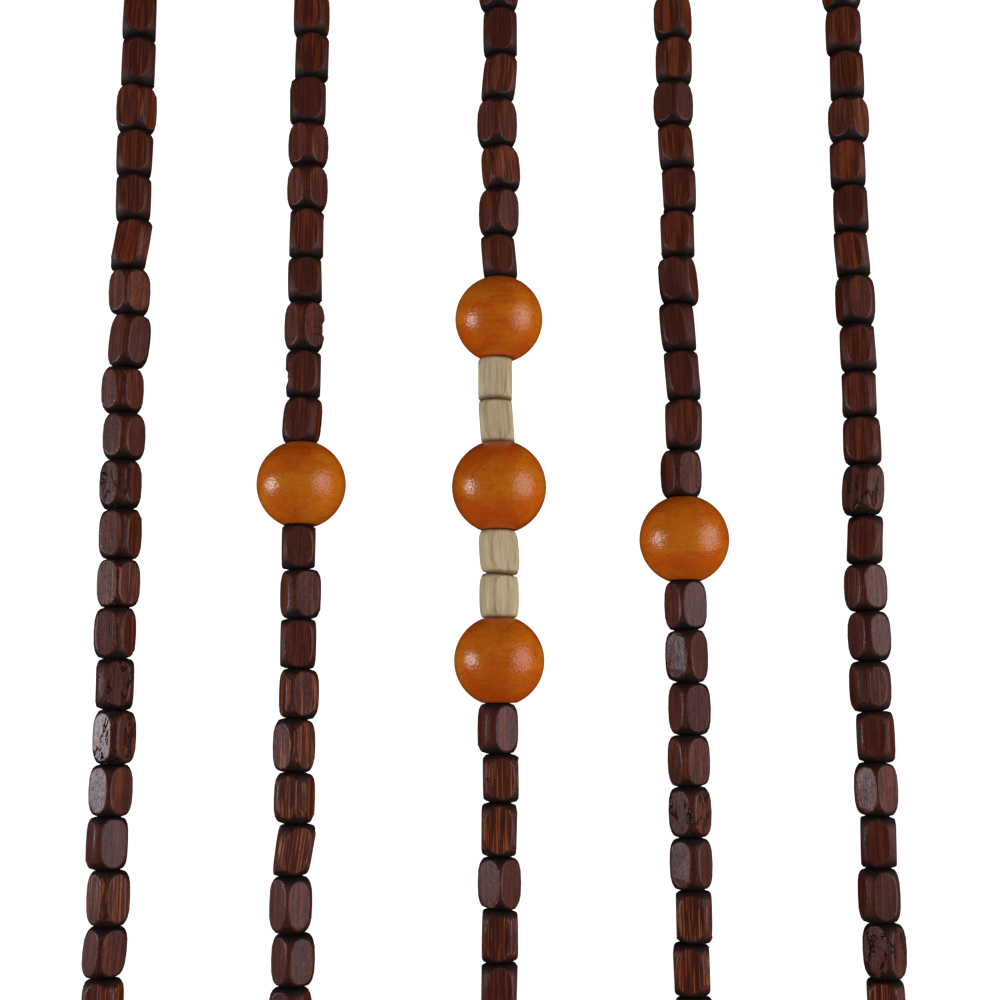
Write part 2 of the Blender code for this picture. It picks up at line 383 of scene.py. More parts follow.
class Finish:
    """A material whose nodes are added one call at a time."""

    def __init__(self, name):
        self.material = bpy.data.materials.new(name)
        self.material.use_nodes = True
        self.tree = self.material.node_tree
        self.shader = self.tree.nodes["Principled BSDF"]

    def connect(self, node, inputs):
        for key, value in inputs.items():
            if isinstance(value, Socket):
                self.tree.links.new(value.socket, node.inputs[key])
            else:
                node.inputs[key].default_value = value

    def add(self, kind, settings, inputs, output=0):
        """Add a node: its settings first, then the values or links of its sockets."""
        node = self.tree.nodes.new("ShaderNode" + kind)
        for key, value in settings.items():
            setattr(node, key, value)
        self.connect(node, inputs)
        return Socket(self, node.outputs[output])

    def maths(self, operation, first, second):
        return self.add("Math", {"operation": operation}, {0: first, 1: second})

    def attribute(self, name, output="Fac"):
        return self.add("Attribute", {"attribute_name": name}, {}, output)

    def stretched(self, place, stretch, shift=(0.0, 0.0, 0.0)):
        return self.add("VectorMath", {"operation": "MULTIPLY_ADD"}, {0: place, 1: stretch, 2: shift})

    def noise(self, place, scale, detail=2.0, roughness=0.5, distortion=0.0):
        inputs = {
            "Vector": place, "Scale": scale, "Detail": detail, "Roughness": roughness,
            "Distortion": distortion,
        }
        return self.add("TexNoise", {"noise_dimensions": "3D"}, inputs)

    def step(self, value, start, end, low=0.0, high=1.0):
        """A smooth step from low to high as the value goes from start to end."""
        inputs = {"Value": value, "From Min": start, "From Max": end, "To Min": low, "To Max": high}
        return self.add("MapRange", {"interpolation_type": "SMOOTHSTEP"}, inputs)

    def mix(self, factor, first, second, kind="MIX"):
        colours = {6: first, 7: second}
        for key, value in colours.items():
            if not isinstance(value, Socket):
                colours[key] = (*value, 1.0)
        settings = {"data_type": "RGBA", "blend_type": kind, "clamp_factor": True}
        return self.add("Mix", settings, {0: factor, **colours}, 2)

    def bump(self, height, distance, strength=1.0, normal=None):
        inputs = {"Height": height, "Distance": distance, "Strength": strength}
        if normal:
            inputs["Normal"] = normal
        return self.add("Bump", {}, inputs)

    def done(self, **inputs):
        self.connect(self.shader, {key.replace("_", " "): value for key, value in inputs.items()})
        return self.material


def stained_bamboo(settings):
    """Stained bamboo: lengthwise fibres, stain gathered at the bead's ends and darkened further as
    painted shade at the necks and ends where beads meet and in the knots' hollows, and rubbed rims
    lightened, which also paints their highlight.
    """
    finish = Finish("stained_bamboo")
    place = finish.attribute("place", "Vector")
    sort = finish.attribute("sort", "Vector")
    tone = finish.attribute("tone")
    facet = finish.attribute("facet")
    rim = finish.attribute("rim")
    knotty = finish.attribute("knots")
    along = finish.add("SeparateXYZ", {}, {0: place}, 2)
    from_middle = finish.add("Math", {"operation": "ABSOLUTE"}, {0: along})
    lengthwise = finish.stretched(place, (1.0, 1.0, 0.045), sort)
    bundles = finish.noise(lengthwise, 1.25, 3.0, 0.62)
    fine = finish.noise(lengthwise, 4.2, 2.0, 0.6)
    blotches = finish.noise(finish.stretched(place, (1.0, 1.0, 0.4), sort), 0.42, 3.0, 0.6)
    pits = finish.noise(finish.stretched(place, (1.0, 1.0, 0.35), sort), 3.6, 3.0, 0.65)
    craters = finish.noise(finish.stretched(place, (1.0, 1.0, 0.5), sort), 0.6, 2.0, 0.6, 0.6)
    craters = finish.step(craters, 0.56, 0.64) * knotty
    turned = 1 - finish.step(facet, 0.0, 0.2)
    shown = finish.step(bundles, 0.44, 0.64) * finish.step(blotches, 0.3, 0.6, 0.35, 1.0)
    shown = shown * (0.25 + 0.75 * tone) * (0.45 + 0.55 * facet)
    colour = finish.mix(shown, settings.stain, settings.fibre)
    colour = finish.mix(finish.step(fine, 0.45, 0.72) * (0.15 + 0.3 * tone), colour, settings.fibre)
    streaks = finish.noise(finish.stretched(place, (1.0, 1.0, 0.018), sort), 4.2, 1.0, 0.5)
    bright = finish.step(streaks, 0.57, 0.65) * finish.attribute("streaked")
    colour = finish.mix(bright, colour, settings.streak)
    colour = finish.mix(finish.step(pits, 0.54, 0.68) * 0.5, colour, settings.stain_and_shade)
    # Rubbed rims lightened: wear, and a painted highlight along the flats' rims
    colour = finish.mix(rim * finish.step(blotches, 0.35, 0.7, 0.1, 0.6), colour, settings.wear_and_sheen)
    # Painted shade: the turned shoulders go near-black toward the necks between beads, and the ends where
    # beads meet are darkened too, along with the stain gathered there
    stain_and_shade = finish.step(from_middle, 2.4, 3.7) * turned * (1 - 0.4 * rim)
    ends = finish.step(from_middle, 3.8, 4.3)
    colour = finish.mix(stain_and_shade * 0.92, colour, settings.stain_and_shade)
    colour = finish.mix(ends * 0.92, colour, settings.stain_and_shade)
    # Painted shade in the knots' hollows, together with the stain there
    colour = finish.mix(craters * 0.75, colour, settings.stain_and_shade)
    shine = finish.attribute("shine")
    rough = finish.step(pits, 0.3, 0.75, 0.42, 0.62) - 0.20 * shine - 0.06 * knotty - 0.25 * rim
    rough = rough + 0.12 * stain_and_shade
    ridges = bundles * 0.6 + fine * 0.4
    normal = finish.bump(ridges, 0.00015, 0.6)
    normal = finish.bump(pits * (1 - 0.6 * shine), 0.00012, 0.6, normal)
    normal = finish.bump(1 - craters, 0.0005, 0.85, normal)
    return finish.done(
        Base_Color=colour, Roughness=rough, Normal=normal, Specular_IOR_Level=0.255,
        Specular_Tint=(0.93, 0.90, 1.0, 1.0),
    )


def bare_bamboo(settings):
    """Bare bamboo: pale, with fine brown fibres and a matt, slightly hairy surface."""
    finish = Finish("bare_bamboo")
    place = finish.attribute("place", "Vector")
    sort = finish.attribute("sort", "Vector")
    along = finish.add("SeparateXYZ", {}, {0: place}, 2)
    from_middle = finish.add("Math", {"operation": "ABSOLUTE"}, {0: along})
    lengthwise = finish.stretched(place, (1.0, 1.0, 0.04), sort)
    bundles = finish.noise(lengthwise, 1.9, 3.0, 0.6)
    fine = finish.noise(lengthwise, 5.0, 2.0, 0.6)
    rim = finish.attribute("rim")
    colour = finish.mix(finish.step(bundles, 0.47, 0.72) * 0.8, settings.cream, settings.cream_fibre)
    colour = finish.mix(finish.step(fine, 0.5, 0.75) * 0.6, colour, settings.cream_fibre)
    dirt_and_shade = finish.noise(place, 0.5, 2.0, 0.5)
    colour = finish.mix(rim * finish.step(dirt_and_shade, 0.4, 0.65, 0.1, 0.5), colour, settings.cream_fibre)
    # Darker brown toward both ends: dirt, and painted shade at the seams where the bead meets its
    # neighbours
    colour = finish.mix(finish.step(from_middle, 3.5, 4.3) * 0.85, colour, settings.dirt_and_shade)
    normal = finish.bump(bundles * 0.5 + fine * 0.5, 0.00018, 0.7)
    return finish.done(
        Base_Color=colour, Roughness=finish.step(fine, 0.3, 0.7, 0.38, 0.6) - 0.15 * rim, Normal=normal,
        Specular_IOR_Level=0.4,
    )


def lacquered_wood(settings):
    """Lacquered wood: gold to orange with its figure, faint turning marks and an orange-peel skin."""
    finish = Finish("lacquered_wood")
    place = finish.attribute("place", "Vector")
    sort = finish.attribute("sort", "Vector")
    along = finish.add("SeparateXYZ", {}, {0: place}, 2)
    from_middle = finish.add("Math", {"operation": "ABSOLUTE"}, {0: along})
    figure = finish.noise(finish.stretched(place, (0.8, 0.8, 1.0), sort), 0.14, 4.0, 0.62, 0.8)
    turning = finish.noise(finish.stretched(place, (0.07, 0.07, 1.0), sort), 1.7, 3.0, 0.6)
    mottle = finish.noise(finish.stretched(place, (1.0, 1.0, 1.0), sort), 1.4, 3.0, 0.6)
    peel = finish.noise(place, 2.2, 2.0, 0.6)
    dots = finish.noise(finish.stretched(place, (1.0, 1.0, 1.0), sort), 1.3, 0.0)
    zones = figure + from_middle * 0.03
    colour = finish.mix(finish.step(zones, 0.38, 0.78), settings.gold, settings.orange)
    colour = finish.mix(finish.step(turning, 0.45, 0.75) * 0.25, colour, TURNING_MARK)
    colour = finish.mix(finish.step(mottle, 0.45, 0.8) * 0.4, colour, MOTTLE)
    colour = finish.mix(finish.step(dots, 0.84, 0.86) * 0.7, colour, PORE)
    normal = finish.bump(turning, 0.00003, 0.4)
    normal = finish.bump(peel, 0.00014, 0.7, normal)
    return finish.done(Base_Color=colour, Roughness=0.18, Normal=normal, Specular_IOR_Level=0.42)


def woven_cotton(name, colour, weave):
    """Cotton: plain-woven tape or spun cord, matt, with its yarns in relief."""
    finish = Finish(name)
    layout = finish.add("UVMap", {"uv_map": "layout"}, {}, 0)
    across = finish.add("SeparateXYZ", {}, {0: layout}, 0)
    down = finish.add("SeparateXYZ", {}, {0: layout}, 1)
    warp = finish.maths("SINE", across * weave, 0.0)
    weft = finish.maths("SINE", down * weave, 0.0)
    yarns = warp * weft
    fuzz = finish.noise(finish.stretched(layout, (1.0, 1.0, 0.0)), 3.0, 3.0, 0.6)
    shade = finish.step(yarns * 0.6 + fuzz, 0.0, 1.2)
    dark = tuple(0.45 * part for part in colour)
    return finish.done(
        Base_Color=finish.mix(shade, dark, tuple(colour)), Roughness=0.9,
        Normal=finish.bump(yarns * 0.5 + fuzz, 0.0001, 0.7),
    )


def kept_material(name, make, *given):
    """The material of that name, made when a piece first asks for it."""
    return bpy.data.materials.get(name) or make(*given)


def add_piece(name, shape, material, nodes):
    """Turn a finished shape into a piece that rides on the curtain in place of its nodes."""
    mesh = bpy.data.meshes.new(name)
    shape.to_mesh(mesh)
    shape.free()
    mesh.materials.append(material)
    piece = bpy.data.objects.new(name, mesh)
    bpy.context.scene.collection.objects.link(piece)
    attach(piece, "root")
    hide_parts(*nodes)
    return piece


def turn_angle(sign, facing):
    """Angle of a bead's facing corner, from straight ahead towards the right."""
    if sign == "F":
        return math.radians(45 + facing)
    if sign == ".":
        return 0.0
    return math.asin((int(sign) - 5) / 5) + math.radians(facing)


def strung_items(strand):
    """Read a strand's charts into the beads and balls on its cord, top to bottom."""
    items = []
    top = -TAPE_DROP - strand.hang
    charts = zip(strand.order, strand.turns, strand.leans, strand.sizes, strand.sides, strict=True)
    for number, (kind, turn, lean, size, side) in enumerate(charts, 1):
        if kind in BALLS:
            length = BALLS[kind].length
        elif kind == "C":
            length = CREAM_LENGTH
        else:
            length = strand.length + SIZE_STEPS[size]
        angle = turn_angle(turn, strand.facing)
        lean = math.radians(LEAN_DEGREES[lean])
        look = LOOKS[strand.name][number - 1]
        items.append(Item(kind, number, top, length, angle, lean, SIDE_STEPS[side], look))
        top -= length
    return items


def groups(kinds):
    """The nodes that hold these kinds of bead: each node's name, strand and items."""
    for strand in STRANDS:
        counts = {}
        for kind, group in groupby(strung_items(strand), key=lambda item: item.kind):
            pieces = [list(group)] if kind == "D" else [[item] for item in group]
            label = {"D": "dark_beads", "C": "cream_bead"}.get(kind, "ball")
            for items in pieces:
                counts[label] = counts.get(label, 0) + 1
                if kind in kinds:
                    yield f"{strand.name}_{label}_{counts[label]}", strand, items


def cord_at(strand, height):
    """Where a strand's cord passes a height, along the tape."""
    return strand.across - strand.slant * height


def end_slope(strand, joint, turn):
    """How the two touching ends at a joint slope, in the frame of a bead that has been turned. An end
    beside a ball is square."""
    if set(strand.order[max(0, joint - 1):joint + 1]) & set(BALLS):
        return Vector((0.0, 0.0))
    chance = random.Random(f"{strand.name} joint {joint}")
    slope = Vector((chance.gauss(0, JOINT_SLOPE_SPREAD), chance.gauss(0, JOINT_SLOPE_SPREAD)))
    slope.rotate(Matrix.Rotation(-turn, 2))
    return slope


def spun(outline, sides, closed=True):
    """A shape spun about the upright axis from an outline of distances from it and heights. Its faces are
    made one by one, so that they come in the same order each run."""
    shape = bmesh.new()
    lines = []
    for side in range(sides):
        ray = Matrix.Rotation(math.tau * side / sides, 3, "Z")
        lines.append([shape.verts.new(ray @ Vector((across, 0.0, height))) for across, height in outline])
    for side in range(sides):
        here, there = lines[side - 1], lines[side]
        for k in range(0 if closed else 1, len(outline)):
            shape.faces.new((here[k - 1], here[k], there[k], there[k - 1]))
    return shape


def turned_stick(length, end, middle, bore, slopes):
    """A barrel turned from a stick and drilled, with sloping ends."""
    outline = [(bore / 2, length / 2)]
    for along in BEAD_STATIONS:
        swell = (1 - abs(2 * along - 1) ** FULLNESS) ** SHOULDER
        outline.append((end / 2 + (middle - end) / 2 * swell, length * (0.5 - along)))
    outline.append((bore / 2, -length / 2))
    shape = spun(outline, BEAD_SIDES)
    for sign, slope in zip((1, -1), slopes):
        slanted = Matrix.Identity(4)
        slanted[2][0], slanted[2][1] = slope
        ends = [vert for vert in shape.verts if sign * vert.co.z > length * 0.45]
        bmesh.ops.transform(shape, matrix=slanted, verts=ends)
    return shape


def flat_angles(item, facing, chance):
    """The facing angles of a bead's four flats, in the frame of the bead before it is turned."""
    angles = [
        math.radians(45 + 90 * quarter) + chance.gauss(0, FLAT_TURN_SPREAD) for quarter in range(4)
    ]
    if item.look not in POLISHED_DEGREES:
        return angles, None
    polished = math.radians(POLISHED_DEGREES[item.look] + facing / 2) - item.turn
    off = [math.remainder(polished - angle, math.tau) for angle in angles]
    nearest = min(range(4), key=lambda quarter: abs(off[quarter]))
    angles[nearest] = polished
    return angles, nearest


def flatten(shape, chance, angles, across_flats):
    """Cut the four flats."""
    for angle in angles:
        rise = chance.gauss(0, FLAT_RISE_SPREAD)
        level = math.cos(rise)
        facing = Vector((math.sin(angle) * level, -math.cos(angle) * level, math.sin(rise)))
        depth = across_flats / 2 + chance.gauss(0, FLAT_DEPTH_SPREAD)
        cut = bmesh.ops.bisect_plane(
            shape, geom=shape.verts[:] + shape.edges[:] + shape.faces[:], dist=CUT_TOLERANCE,
            plane_co=facing * depth, plane_no=facing, clear_outer=True,
        )
        loop = [part for part in cut["geom_cut"] if isinstance(part, bmesh.types.BMEdge)]
        bmesh.ops.edgeloop_fill(shape, edges=loop)
    bmesh.ops.remove_doubles(shape, verts=shape.verts, dist=0.2 * MM)


def wear(shape, rim):
    """Round the flats' rims, and mark flats and rims for the finish."""
    facet_layer = shape.faces.layers.float.new("facet")
    rim_layer = shape.faces.layers.float.new("rim")
    edges = [
        edge for edge in shape.edges if any(face.calc_area() > LEAST_FLAT for face in edge.link_faces)
    ]
    rounded = bmesh.ops.bevel(
        shape, geom=edges, offset=rim, offset_type="OFFSET", segments=2, profile=0.5, affect="EDGES",
        clamp_overlap=False, material=-1,
    )
    for face in rounded["faces"]:
        face[rim_layer] = 1.0
    bmesh.ops.recalc_face_normals(shape, faces=shape.faces)
    for face in shape.faces:
        face.smooth = True
        if face.calc_area() > LEAST_WORN_FLAT:
            face[facet_layer] = 1.0
            face.smooth = False
    return facet_layer


def chip(shape, item, chance):
    """Break a notch out of a bead's left or right side, as seen from the front."""
    side = Vector((1.0 if item.look == "c" else -1.0, 0.0, 0.0))
    side.rotate(Matrix.Rotation(-item.turn, 3, "Z"))
    for height in NOTCH_CUTS:
        bmesh.ops.bisect_plane(
            shape, geom=shape.verts[:] + shape.edges[:] + shape.faces[:], dist=CUT_TOLERANCE,
            plane_co=(0.0, 0.0, height), plane_no=(0.0, 0.0, 1.0),
        )
    for vert in sorted(shape.verts, key=lambda vert: [round(part / MM, 3) for part in vert.co]):
        reach = vert.co.dot(side)
        if reach > NOTCH_REACH and NOTCH_LOW < vert.co.z < NOTCH_HIGH:
            vert.co -= side * chance.uniform(0.5, 1.0) * min(reach - NOTCH_FLOOR, NOTCH_DEPTH)


def bamboo_bead(strand, item, settings):
    """One bamboo bead about its own middle: turned, drilled, flattened on four sides and worn."""
    chance = random.Random(f"{strand.name} {item.number}")
    dark = item.kind == "D"
    length = item.length - PLAY
    end = (settings.dark_end + chance.gauss(0, END_SPREAD)) if dark else settings.cream_end
    middle = settings.barrel + chance.gauss(0, BARREL_SPREAD)
    slopes = [end_slope(strand, joint, item.turn) for joint in (item.number - 1, item.number)]
    shape = turned_stick(length, end, middle, settings.bore, slopes)
    angles, polished = flat_angles(item, strand.facing, chance)
    flatten(shape, chance, angles, settings.across_flats)
    facet_layer = wear(shape, settings.rim)
    if item.look in "ac":
        chip(shape, item, chance)
    place = shape.verts.layers.float_vector.new("place")
    for vert in shape.verts:
        vert[place] = Vector((vert.co.x / MM, vert.co.y / MM, vert.co.z / length * GRAIN_LENGTH))
    sort_layer = shape.faces.layers.float_vector.new("sort")
    tone_layer = shape.faces.layers.float.new("tone")
    streaked_layer = shape.faces.layers.float.new("streaked")
    knots_layer = shape.faces.layers.float.new("knots")
    shine_layer = shape.faces.layers.float.new("shine")
    sort = Vector([chance.uniform(0, 90) for _ in range(3)])
    tone = {"d": 0.0, "t": 0.25, "o": 1.0, "a": 0.0}.get(item.look, chance.uniform(0.15, 0.6))
    streaked = 1.0 if item.look == "t" else chance.uniform(0.0, 0.4)
    for face in shape.faces:
        face[sort_layer] = sort
        face[tone_layer] = tone
        face[streaked_layer] = streaked
        face[knots_layer] = 1.0 if item.look in "kK" else 0.0
        if face[facet_layer]:
            face[facet_layer] = 0.8 if item.look in "ac" else chance.uniform(0.5, 1.0)
            azimuth = math.atan2(face.normal.x, -face.normal.y)
            if polished is not None and abs(math.remainder(azimuth - angles[polished], math.tau)) < 0.1:
                face[shine_layer] = 1.0
    return shape


def string_on(run, shape, strand, item):
    """Turn, lean and move a bead to its place on the cord, and join it to its run."""
    middle = item.top - item.length / 2
    lean = Matrix.Identity(4)
    lean[0][2] = math.tan(item.lean) - strand.slant
    across = cord_at(strand, middle) + item.side
    place = Matrix.Translation((across, 0.0, middle)) @ lean @ Matrix.Rotation(item.turn, 4, "Z")
    bmesh.ops.transform(shape, matrix=place, verts=shape.verts)
    mesh = bpy.data.meshes.new("bead")
    shape.to_mesh(mesh)
    shape.free()
    run.from_mesh(mesh)
    bpy.data.meshes.remove(mesh)


def turned_ball(strand, item, settings):
    """One ball about its own middle: turned, drilled through and cut flat at both ends of the bore."""
    size = BALLS[item.kind]
    half = size.length / 2 - PLAY
    radius = size.diameter / 2
    top_angle = math.asin(half / radius)
    outline = [(settings.bore / 2, half)]
    for step in range(BALL_ARC_STEPS + 1):
        angle = top_angle * (1 - 2 * step / BALL_ARC_STEPS)
        outline.append((radius * math.cos(angle), radius * math.sin(angle)))
    outline.append((settings.bore / 2, -half))
    shape = spun(outline, ROUND_SIDES)
    rims = []
    for edge in shape.edges:
        ends = [vert.co for vert in edge.verts]
        even = abs(ends[0].xy.length - ends[1].xy.length) < CUT_TOLERANCE
        if even and all(abs(place.z) > half - CUT_TOLERANCE for place in ends):
            rims.append(edge)
    bmesh.ops.bevel(
        shape, geom=rims, offset=settings.rim, offset_type="OFFSET", segments=3, profile=0.5,
        affect="EDGES", clamp_overlap=True, material=-1,
    )
    bmesh.ops.recalc_face_normals(shape, faces=shape.faces)
    chance = random.Random(f"{strand.name} {item.number}")
    sort = Vector([chance.uniform(0, 90) for _ in range(3)])
    place_layer = shape.verts.layers.float_vector.new("place")
    sort_layer = shape.faces.layers.float_vector.new("sort")
    for vert in shape.verts:
        vert[place_layer] = vert.co / MM
    for face in shape.faces:
        face.smooth = True
        face[sort_layer] = sort
    return shape


def add_tube(shape, points, diameter, cyclic=False):
    """Join a round tube along a path of points to a shape."""
    curve = bpy.data.curves.new("path", "CURVE")
    curve.dimensions = "3D"
    curve.bevel_depth = diameter / 2
    curve.bevel_resolution = 1
    curve.use_fill_caps = not cyclic
    spline = curve.splines.new("POLY")
    spline.points.add(len(points) - 1)
    spline.use_cyclic_u = cyclic
    for point, place in zip(spline.points, points):
        point.co = (*place, 1.0)
    path = bpy.data.objects.new("path", curve)
    bpy.context.scene.collection.objects.link(path)
    bpy.context.view_layer.update()
    mesh = bpy.data.meshes.new_from_object(path.evaluated_get(bpy.context.evaluated_depsgraph_get()))
    shape.from_mesh(mesh)
    bpy.data.meshes.remove(mesh)
    bpy.data.objects.remove(path, do_unlink=True)


def twisted_cord(shape, strand, high, low, diameter, pitch):
    """A cord of two plies that twist round each other, between two heights on the strand's slant."""
    steps_per_turn = 8
    ply = diameter * CORD_PLY
    out = (diameter - ply) / 2
    steps = round((high - low) / pitch * steps_per_turn)
    for start in (0.0, math.pi):
        points = []
        for step in range(steps + 1):
            height = high + (low - high) * step / steps
            angle = start + math.tau * step / steps_per_turn
            across = cord_at(strand, height) + out * math.cos(angle)
            points.append((across, out * math.sin(angle), height))
        add_tube(shape, points, ply)


def overhand_knot(shape, strand, height, width, cord):
    """An overhand knot pulled tight, as a tube along a threefold knotted path."""
    steps = 54
    tube = cord * KNOT_TUBE
    reach = (width - tube) / 6
    points = []
    for step in range(steps):
        angle = math.tau * step / steps
        across = math.sin(angle) + 2 * math.sin(2 * angle)
        ahead = math.cos(angle) - 2 * math.cos(2 * angle)
        rise = -math.sin(3 * angle) * (KNOT_HEIGHT - tube) / 2
        points.append((cord_at(strand, height) + reach * across, reach * ahead, height + rise))
    add_tube(shape, points, tube, cyclic=True)


def lay_out(shape):
    """Give a shape a map in millimetres, from how far each point lies along and down the curtain."""
    layer = shape.loops.layers.uv.new("layout")
    for face in shape.faces:
        for loop in face.loops:
            place = loop.vert.co / MM
            loop[layer].uv = (place.x + place.y, place.z)


class CURTAIN_OT_dark_beads(bpy.types.Operator):
    """String the runs of dark bamboo beads"""

    bl_idname = "curtain.dark_beads"
    bl_label = "Dark Bamboo Beads"
    bl_options = {"REGISTER", "UNDO"}

    def execute(self, context):
        settings = context.scene.curtain_bamboo
        material = kept_material("stained_bamboo", stained_bamboo, settings)
        for node, strand, items in groups("D"):
            run = bmesh.new()
            for item in items:
                string_on(run, bamboo_bead(strand, item, settings), strand, item)
            name = node.replace("dark_beads", "dark_bamboo_run")
            add_piece(name, run, material, (node,))
        return {"FINISHED"}


class CURTAIN_OT_cream_beads(bpy.types.Operator):
    """String the cream bamboo beads between the balls"""

    bl_idname = "curtain.cream_beads"
    bl_label = "Cream Bamboo Beads"
    bl_options = {"REGISTER", "UNDO"}

    def execute(self, context):
        settings = context.scene.curtain_bamboo
        material = kept_material("bare_bamboo", bare_bamboo, settings)
        for node, strand, items in groups("C"):
            run = bmesh.new()
            string_on(run, bamboo_bead(strand, items[0], settings), strand, items[0])
            name = node.replace("cream_bead", "cream_bamboo_bead")
            add_piece(name, run, material, (node,))
        return {"FINISHED"}


class CURTAIN_OT_balls(bpy.types.Operator):
    """String the turned and lacquered balls"""

    bl_idname = "curtain.balls"
    bl_label = "Lacquered Balls"
    bl_options = {"REGISTER", "UNDO"}

    def execute(self, context):
        settings = context.scene.curtain_balls
        material = kept_material("lacquered_wood", lacquered_wood, settings)
        for node, strand, items in groups("BG"):
            run = bmesh.new()
            string_on(run, turned_ball(strand, items[0], settings), strand, items[0])
            add_piece(node.replace("ball", "lacquered_ball"), run, material, (node,))
        return {"FINISHED"}


class CURTAIN_OT_heading(bpy.types.Operator):
    """Cut and sew the woven heading tape"""

    bl_idname = "curtain.heading"
    bl_label = "Heading Tape"
    bl_options = {"REGISTER", "UNDO"}

    def execute(self, context):
        settings = context.scene.curtain_heading
        width = settings.tape_width
        shape = bmesh.new()
        bmesh.ops.create_grid(shape, x_segments=160, y_segments=16, size=0.5)
        bmesh.ops.scale(shape, vec=(width, TAPE_DROP, 1.0), verts=shape.verts)
        upright = Matrix.Rotation(math.radians(90), 4, "X")
        stand = Matrix.Translation((0.0, 0.0, -TAPE_DROP / 2)) @ upright
        bmesh.ops.transform(shape, matrix=stand, verts=shape.verts)
        bmesh.ops.recalc_face_normals(shape, faces=shape.faces)
        bmesh.ops.solidify(shape, geom=shape.faces[:], thickness=settings.tape_thickness)
        middle = sum((vert.co.y for vert in shape.verts)) / len(shape.verts)
        bmesh.ops.translate(shape, vec=(0.0, -middle, 0.0), verts=shape.verts)
        bmesh.ops.recalc_face_normals(shape, faces=shape.faces)
        edges = [edge for edge in shape.edges if edge.is_manifold and edge.calc_face_angle() > 1.0]
        bmesh.ops.bevel(
            shape, geom=edges, offset=TAPE_EDGE, offset_type="OFFSET", segments=2, profile=0.5,
            affect="EDGES", clamp_overlap=True, material=-1,
        )
        for face in shape.faces:
            face.smooth = True
        lay_out(shape)
        material = kept_material("woven_tape", woven_cotton, "woven_tape", settings.yarn, TAPE_WEAVE)
        tape = add_piece("heading_tape", shape, material, ("heading_and_cords",))
        stitching = self.stitching(settings)
        return {"FINISHED"}

    def stitching(self, settings):
        """Two rows of stitches along the tape, on both faces, that hold the ends of the cords."""
        shape = bmesh.new()
        count = int((settings.tape_width - 2 * STITCH_MARGIN) / settings.stitch)
        lean = Matrix.Rotation(STITCH_LEAN, 4, "Y")
        size = Matrix.Diagonal((settings.stitch * STITCH_FILL, STITCH_THICKNESS, STITCH_THICKNESS, 1.0))
        for row in STITCH_ROWS:
            for number in range(count):
                across = (number - (count - 1) / 2) * settings.stitch
                for side in (-1, 1):
                    made = bmesh.ops.create_icosphere(shape, subdivisions=1, radius=0.5)
                    face = side * settings.tape_thickness / 2
                    place = Matrix.Translation((across, face, row)) @ lean @ size
                    bmesh.ops.transform(shape, matrix=place, verts=made["verts"])
        for face in shape.faces:
            face.smooth = True
        lay_out(shape)
        thread = (settings.thread, THREAD_WEAVE)
        material = kept_material("sewing_thread", woven_cotton, "sewing_thread", *thread)
        return add_piece("heading_stitching", shape, material, ("heading_and_cords",))


class CURTAIN_OT_cords(bpy.types.Operator):
    """Twist the cords and tie the knots that the beads rest on"""

    bl_idname = "curtain.cords"
    bl_label = "Cords and Knots"
    bl_options = {"REGISTER", "UNDO"}

    def execute(self, context):
        settings = context.scene.curtain_heading
        shape = bmesh.new()
        for strand in STRANDS:
            last = strung_items(strand)[-1]
            knot_height = last.top - last.length - GAP / 2 - KNOT_HEIGHT / 2
            low = knot_height - KNOT_HEIGHT / 2 - CORD_TAIL
            twisted_cord(shape, strand, CORD_ROOT - TAPE_DROP, low, settings.cord, settings.twist)
            overhand_knot(shape, strand, knot_height, settings.knot, settings.cord)
        bmesh.ops.recalc_face_normals(shape, faces=shape.faces)
        for face in shape.faces:
            face.smooth = True
        lay_out(shape)
        material = kept_material("twisted_cord", woven_cotton, "twisted_cord", settings.yarn, CORD_WEAVE)
        add_piece("cords_and_knots", shape, material, ("heading_and_cords",))
        return {"FINISHED"}


